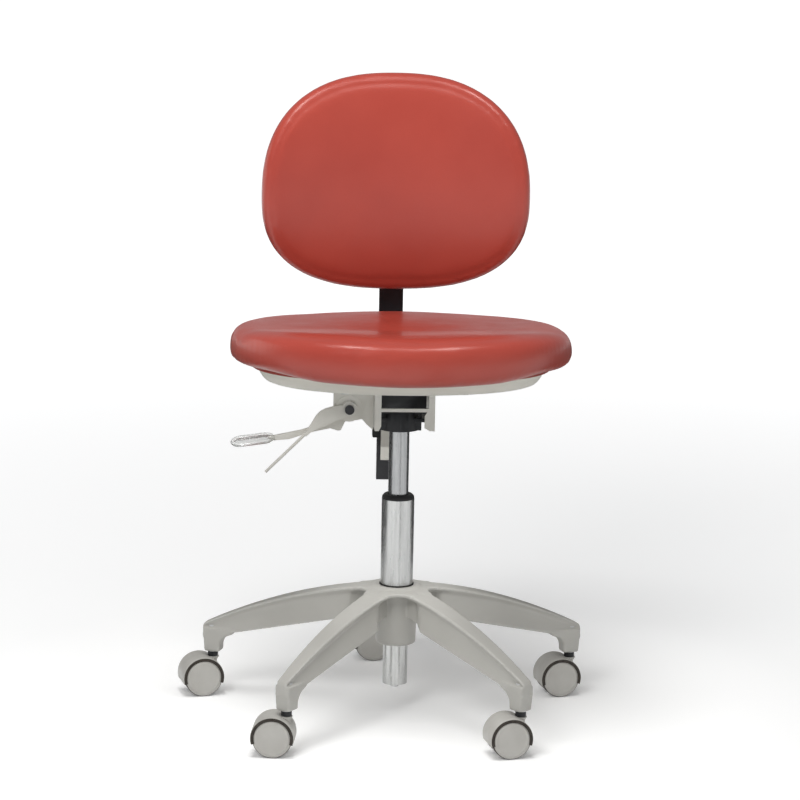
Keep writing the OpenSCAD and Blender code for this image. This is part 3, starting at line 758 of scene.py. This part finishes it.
BACK_HALF, BACK_UP, BACK_DOWN = 178, 163.6, 125.4
BACK_FULL = (2.42, 2.52)
BOARD_BACK = 8.1                 # where the shell starts, just behind the board
SHELL_DEPTH = 19.95
BACK_PUFF = 2.2                  # the most that pressure moves the cover
VALLEY, VALLEY_INSET = 0.75, 15  # the faint crease round the face
ROLL = 12                        # how far the face rolls back at its top


def bent(x, depth):
    """Where a layer at that depth behind the board's face lies, at x from the middle"""
    return -BACK_CURVE_R + math.sqrt((BACK_CURVE_R + depth) ** 2 - x * x)


def back_ring(inset, depth, share=1.0):
    flat = oval(BACK_HALF - inset, BACK_UP - inset, BACK_DOWN - inset, *BACK_FULL) * share
    return [(x, bent(x, depth), height) for x, height in flat]


def back_rings(profile, start_depth, end_depth):
    first, last = profile[0][0], profile[-1][0]
    rings = [back_ring(first, start_depth, share) for share in INNER_RINGS[::-1]]
    rings += [back_ring(inset, depth) for inset, depth in profile]
    rings += [back_ring(last, end_depth, share) for share in INNER_RINGS]
    return skin(rings)


def back_stapled(p):
    """The rear, up to 7 mm before the board's face"""
    return p[:, 1] > np.array([bent(x, -7) for x in p[:, 0]])


def back_cushion():
    profile = ((12, -0.5), (6, -1.5), (2.4, -6), (1.0, -14), (1.2, -24), (3.2, -31.5), (7.2, -36.3),
               (12.5, -38.4), (22, -39.4), (34, -39.8))
    pad = make("back_pad", back_rings(profile, -0.5, -40), back_frame)
    inflate(pad, back_frame, back_stapled, 5, BACK_PUFF)
    refine(pad, 3)
    p = coordinates(pad.data, back_frame)
    x, y, h = p.T
    reach = np.where(h >= 0, BACK_UP, BACK_DOWN)
    full = np.where(h >= 0, *BACK_FULL)
    share = ((np.abs(x) / BACK_HALF) ** full + (np.abs(h) / reach) ** full) ** (1 / full)
    inset = np.where(share > 0.4, (1 - share) * np.hypot(x, h) / np.maximum(share, 0.4), 100)
    forward = np.array([bent(v, -8) for v in x]) - y
    front = smooth01((forward - 18) / 8)
    valley = VALLEY * np.exp(-((inset - VALLEY_INSET) / 3.4) ** 2)
    roll = ROLL * ((h - 15) / 145) ** 2 * np.clip(forward / 32, 0, 1)
    p[:, 1] = y + front * valley + roll
    set_coordinates(pad.data, p, back_frame)
    shade(pad, 60)
    fit(pad, "back", "red_vinyl", "back_cushion")


def back_shell():
    profile = ((12, BOARD_BACK), (9.4, 8.2), (9, 9.5), (9.6, 11.4), (12, 13.2), (16, 14.6), (21, 16.4),
               (28, 18.4), (36, 19.5), (46, 19.9))
    shell = make("back_shell_moulding", back_rings(profile, BOARD_BACK, SHELL_DEPTH), back_frame, 50)
    fit(shell, "back", "cream_plastic", "back_shell")


# ---- Base ----

CROWN_Z = 168
LEG_ANGLES = [90, 162, 234, 306, 18]
LEG_END_R = 260
LEG_END_ROUND = ((257, 0.1), (259.3, 0.9), (260.2, 2.2))    # (radius, how much the section shrinks there)
SOCKET_Z = 57
HALF_GAP = 36                    # half of the angle between two legs
TOP_HALF, LOW_HALF = 15, 17      # half widths of a leg's top and foot at GAUGE_R
GAUGE_R = 80
HUB_REACH = 68                   # inside this radius the legs' walls draw in and leave the hub clear
ARCH_CORNER, ARCH_R = 30.5, 19   # the corner between two legs: its distance from the axis and its rounding


def ridge_z(r):
    """Height of a leg's ridge, a parabola"""
    return CROWN_Z + 0.8 - (r + 29) ** 2 / 1124


def belly_z(r):
    """Height of a leg's lower edges, which fall evenly outwards"""
    return 113 - 0.23 * (r - 98)


def leg_section(r, shrink):
    """Half outline of a leg across its run, from the ridge down one side to the ceiling of its pocket"""
    top, low = ridge_z(r) - shrink, belly_z(r) + shrink
    height = top - low
    web = 2.0 * math.exp(-(max(r - 33, 0) / 19) ** 2)
    half_top = TOP_HALF - 0.0355 * (r - GAUGE_R) + web - shrink
    half_low = min(LOW_HALF - 0.034 * (r - GAUGE_R), max(16.8 - 0.62 * (HUB_REACH - r), 4.0)) - shrink
    cove = min(4.6, 0.13 * height)
    neck = min(half_top - cove - 0.4 * web, half_low)
    half = [(0, top), (half_top * 0.5, top), (half_top - 2, top - 0.1), (half_top, top - 1.6),
            (half_top - 0.2, top - 0.09 * height), (half_top - 0.5 * cove, top - 0.15 * height),
            (neck, top - 0.24 * height), (neck + 0.2, top - 0.34 * height)]
    for share in (0.3, 0.55, 0.8):
        flare = (half_low - neck - 0.2) * share ** 1.2
        half.append((neck + 0.2 + flare, top - height * (0.34 + 0.62 * share)))
    half += [(half_low, low + 2), (half_low - 1, low), (max(half_low - 5, 1.6), low)]
    roof = max(low + (top - 8 - low) * smooth01((half_low - 9.5) / 5), low + 0.6)
    half += [(max(half_low - 8, 0.8), low + 0.35 * (roof - low)), (max(half_low - 11.5, 0.4), roof - 0.2),
             (0, roof)]
    return half


def leg(angle):
    stations = [22, 27, 31, 35, 39, *range(44, 70, 5), 75, 82, *range(95, 231, 15), 242, 252]
    rings = []
    for r, shrink in [(r, 0.0) for r in stations] + list(LEG_END_ROUND):
        half = leg_section(min(r, LEG_END_R), shrink)
        outline = half + [(-x, z) for x, z in half[-2:0:-1]]
        rings.append([(r, x, z) for x, z in outline])
    return turned(skin(rings), angle)


def leg_end(angle):
    """The block that stands on a caster, with the elbow's fillet on its inner side"""
    elbow, inner = 17, 236
    belly = belly_z(inner)
    rings = []
    for z in (SOCKET_Z + 0.5, SOCKET_Z + 1.3, SOCKET_Z + 3, 62, 67, 70, 73, 76, 78.5, 80.5, 82, 84, 90):
        near = inner
        if z > belly - elbow:
            near = inner - (elbow - math.sqrt(max(elbow ** 2 - (z - belly + elbow) ** 2, 0)))
        far = LEG_END_R - 2.2 + 2.2 * smooth01((z - SOCKET_Z) / 35)
        half = 10.6 + 1.0 * smooth01((z - SOCKET_Z) / 32)
        ease = 1.2 if z < SOCKET_Z + 1 else 0.3 if z < SOCKET_Z + 2 else 0
        middle, reach = (near + far) / 2, (far - near) / 2
        flat = oval(reach - ease, half - ease, half - ease, 7, 7, 48)
        rings.append([(middle + x, y, z) for x, y in flat])
    return turned(skin(rings), angle)


def arch(angle):
    """The rounded corner between two legs, with its middle at that angle"""
    centre = ARCH_CORNER + ARCH_R / math.sin(math.radians(HALF_GAP))
    sweep = math.radians(90 - HALF_GAP)
    rings = []
    for drop, inset in ((0, 2), (0.1, 1), (1.4, 0), (3.4, 0), (4.8, 0.8), (5.6, 2.5), (6, 5)):
        outer = [(centre - (ARCH_R + inset) * math.cos(t), (ARCH_R + inset) * math.sin(t))
                 for t in np.linspace(sweep, -sweep, 25)]
        side = [(outer[0][0] - 5, outer[0][1] + 8), (outer[-1][0] - 5, outer[-1][1] - 8)]
        inner = [(23.5 * math.cos(t), 23.5 * math.sin(t)) for t in np.linspace(-0.55, 0.55, 9)]
        flat = [side[0]] + outer + [side[1]] + inner
        rings.append([(x, y, ridge_z(math.hypot(x, y) * 0.86) - drop) for x, y in flat])
    return turned(skin(rings), angle)


def star_base():
    bore_low, bore_high = 16.1, 21.1
    hub = lathe([(bore_low, 90.4), (23, 90), (25.4, 91.2), (26, 94), (26.6, 130), (27, 148), (29.5, 154),
                 (32.5, 158.5), (33.6, 162), (32.6, 165.2), (30, 167.3), (27, CROWN_Z), (bore_high, CROWN_Z)],
                closed=True)
    shapes = [hub] + [leg(a) for a in LEG_ANGLES] + [leg_end(a) for a in LEG_ANGLES]
    shapes += [arch(a + HALF_GAP) for a in LEG_ANGLES]
    casting = make("base_casting", joined(*shapes))
    fuse(casting, 1.5, 4)
    shade(casting, 80)
    fit(casting, "base", "base_paint", "star_base")


# ---- Casters ----

WHEEL_R = 25
WHEEL_INNER = 7.4                # a wheel's inner face, from the caster's middle
HOOD_R = 27.2
HOOD_SIDE = 20.9
LIP_R = 22.7                     # inner radius of the hood's side lip, which stands outside the wheel's rim
SKIRT_Z = 17                     # height of the hood's lower edges above the floor


def caster_frame(i):
    """The caster's own frame: the stem's axis at the origin, the wheels trailing towards -X"""
    stem = JOINTS[f"caster_swivel_{i}"]["pos_m"]
    axle = JOINTS[f"wheel_roll_{i}_front"]["axis"]
    yaw = math.atan2(-axle[0], axle[1])
    return Matrix.Translation((stem[0] / MM, stem[1] / MM, 0)) @ Matrix.Rotation(yaw, 4, "Z")


def wheel_place(i):
    """The caster's frame moved to the middle of its axle"""
    at = JOINTS[f"wheel_roll_{i}_front"]["pos_m"]
    stem = JOINTS[f"caster_swivel_{i}"]["pos_m"]
    trail = math.hypot(at[0] - stem[0], at[1] - stem[1]) / MM
    return caster_frame(i) @ Matrix.Translation((-trail, 0, at[2] / MM))


def paint_faces(obj, finish, test):
    """Gives a second finish to the faces whose centre, in millimetres, passes the test"""
    obj.data.materials.append(finish)
    for face in obj.data.polygons:
        if test(face.center / MM):
            face.material_index = len(obj.data.materials) - 1


def wheel(i, side, sign):
    """The side is front or rear, and the sign is the way that it faces along the axle"""
    inner = WHEEL_INNER
    profile = [(3.1, inner + 3), (8, inner + 3), (9, inner), (23.6, inner), (24.7, inner + 0.5),
               (WHEEL_R, inner + 1.4), (WHEEL_R, 18.0), (24.7, 19.1), (24.0, 19.7), (22.9, 20.0),
               (22.2, 20.15), (21.7, 20.6), (21.3, 21.05), (20.5, 21.3), (19.3, 21.3), (18.6, 21.05),
               (17.9, 21.0), (12, 21.2), (6, 21.33), (1.5, 21.38)]
    turn = Matrix.Rotation(-sign * math.pi / 2, 4, "X")
    obj = make(f"wheel_{i}_{side}_disc", lathe(profile, 72), wheel_place(i) @ turn, 50)
    obj.data.materials.append(FINISHES["caster_plastic"])
    back = (wheel_place(i) @ turn).inverted()

    def on_tread(point):
        local = back @ point
        return math.hypot(local.x, local.y) > 23.5 and 8.0 < local.z < 19.9

    paint_faces(obj, TREAD_AND_SHADE, on_tread)
    fit(obj, f"wheel_{i}_{side}", "caster_plastic", f"wheel_{i}_{side}")


def caster_hood(i):
    """A fender round both wheels, the web between them, and the neck that holds the stem. Its side lip is painted
    dark brown, a painted shade for the shadowed gap round each wheel.
    """
    place = wheel_place(i)
    inside, inner_r = 20.3, 25.7
    half = [(7, HOOD_R), (18.8, HOOD_R), (19.9, 27.1), (20.6, 26.7), (HOOD_SIDE, 26.0), (HOOD_SIDE, LIP_R),
            (inside, LIP_R)]
    section = [(-y, r) for y, r in half[::-1]] + half + [(inside, inner_r), (-inside, inner_r)]
    dip = math.asin((WHEEL_R - SKIRT_Z) / HOOD_R)
    rings = []
    for turn in np.linspace(-dip, math.pi + dip, 56):
        rings.append([(r * math.cos(turn), y, r * math.sin(turn)) for y, r in section])
    fender = skin(rings)

    web = [[(r * math.cos(t), y, r * math.sin(t)) for t in round_angles(48)]
           for y, r in ((-7, 20), (-6.6, 21.6), (-5.5, 22), (5.5, 22), (6.6, 21.6), (7, 20))]
    neck = []
    for z, reach, width, middle, full in (
            (0, 15, 7, 7, 4), (10, 15, 7.2, 6, 4), (16, 14, 7.6, 7, 3), (20, 12, 8.2, 9, 2.6),
            (22.5, 10.4, 8.8, 12, 2.3), (24, 9, 8.6, 14.6, 2.1), (24.7, 8, 8.0, 15.8, 2),
            (24.95, 7.4, 7.4, 16, 2)):
        neck.append([(middle + x, y, z) for x, y in oval(reach, width, width, full, full, 48)])
    obj = make(f"caster_hood_{i}_shell", joined(fender, skin(web), skin(neck)), place, 40)
    obj.data.materials.append(FINISHES["caster_plastic"])
    back = place.inverted()

    def on_shaded_lip(point):
        local = back @ point
        radius = math.hypot(local.x, local.z)
        return LIP_R - 1 < radius < 26.6 and 8 < abs(local.y) or abs(local.y) > HOOD_SIDE - 0.2

    # painted shade: the lip and the fender's side faces take the wheels' dark finish, for the shadow in the gap
    # round the wheel
    paint_faces(obj, TREAD_AND_SHADE, on_shaded_lip)
    fit(obj, f"caster_{i}", "caster_plastic", f"caster_hood_{i}")


# ---- Mechanism, levers and upright ----

def stadium(length, width, count=64):
    """Outline of a bar with round ends, its right end at the origin"""
    radius = width / 2
    flat = []
    for k in range(count):
        turn = 2 * math.pi * (k + 0.5) / count
        middle = -radius if math.cos(turn) > 0 else radius - length
        flat.append((middle + radius * math.cos(turn), radius * math.sin(turn)))
    return flat


def lever_grip():
    """A clear paddle: a thick rounded rim round a thin web"""
    root, droop, twist = (-160, -27, 366.5), math.radians(-8), math.radians(14)
    place = Matrix.Translation(root) @ Matrix.Rotation(droop, 4, "Y") @ Matrix.Rotation(twist, 4, "X")
    length, width = 57, 28
    upper = [(0.4, 1.3), (1.5, 2.1), (3.2, 2.25), (4.6, 1.9), (5.6, 1.2), (6.5, 0.9)]
    rings = []
    for inset, height in [(inset, -height) for inset, height in upper[::-1]] + [(0, 0)] + upper:
        flat = stadium(length - 2 * inset, width - 2 * inset)
        rings.append([(x - inset, y, height) for x, y in flat])
    obj = make("lever_grip_paddle", skin(rings), place, 50)
    fit(obj, "height_lever", "clear_plastic", "height_lever_grip")


def rounded_metal():
    """The CAD's own bars, blocks and pressings, each with its edges rounded over a width in millimetres"""
    softened("height_lever_blade", "height_lever_arm", 1.2, "height_lever")
    softened("tilt_lever_blade", "tilt_lever", 1.2, "tilt_lever")
    softened("mechanism_box", "mechanism_housing", 0.8, "seat")
    softened("lever_bracket_pressing", "lever_bracket", 0.8, "seat")
    softened("taper_socket_block", "taper_socket", 1.0, "seat")
    softened("seat_plate_pressing", "seat_plate", 0.5, "seat")
    softened("back_arm_bar", "back_arm", 1.2, "arm")
    softened("sleeve_block", "upright_sleeve", 1.6, "arm")
    softened("upright_bar", "back_upright", 1.0, "back")
    softened("bracket_plate", "back_bracket", 0.9, "back")
    softened("guide_bush_cap", "guide_bush", 0.7, "base")


def tilt_spring():
    """A close coil round the axle"""
    low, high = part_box("tilt_spring")
    wire, radius, turns, steps = 1.5, 9, 5, 28
    start, end = low.x / MM + wire, high.x / MM - wire
    y0, z0 = (low.y + high.y) / 2 / MM, (low.z + high.z) / 2 / MM
    path = []
    for k in range(turns * steps + 1):
        turn = 2 * math.pi * k / steps
        x = start + (end - start) * k / (turns * steps)
        path.append(Vector((x, y0 + radius * math.cos(turn), z0 + radius * math.sin(turn))))
    rings = []
    for k, point in enumerate(path):
        ahead = path[min(k + 1, len(path) - 1)] - path[max(k - 1, 0)]
        side = Vector((point.x, y0, z0)) - point
        side.normalize()
        other = ahead.cross(side).normalized()
        rings.append([point + wire * (side * math.cos(t) + other * math.sin(t)) for t in round_angles(12)])
    fit(make("tilt_spring_coil", skin(rings)), "seat", "steel", "tilt_spring")


def clamp_knob():
    """A lobed knob with a round collar on the side of its stud"""
    low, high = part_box("clamp_knob")
    z0 = (low.z + high.z) / 2 / MM
    y0, y1 = low.y / MM, high.y / MM
    mean_r, lobe_h, lobes, depth = 16.3, 1.6, 6, 19.0
    profile = ((0.0, 0.50), (0.3, 0.52), (2.0, 0.54), (2.6, 0.9), (3.6, 0.98), (5, 1.0), (15.5, 1.0),
               (17.4, 0.975), (18.6, 0.92), (depth, 0.84))
    rings = []
    for along, share in profile:
        y = y0 + along / depth * (y1 - y0)
        ring = []
        for t in round_angles(96):
            wave = math.cos(lobes * t) if share > 0.6 else 1
            r = (mean_r + lobe_h * wave) * share
            ring.append((r * math.cos(t), y, z0 + r * math.sin(t)))
        rings.append(ring)
    fit(make("clamp_knob_lobes", skin(rings), angle=50), "knob", "black_plastic", "clamp_knob")


def main():
    seat_cushion()
    seat_pan()
    back_cushion()
    back_shell()
    star_base()
    for i in range(5):
        caster_hood(i)
        wheel(i, "front", -1)
        wheel(i, "rear", 1)
    lever_grip()
    rounded_metal()
    tilt_spring()
    clamp_knob()


main()
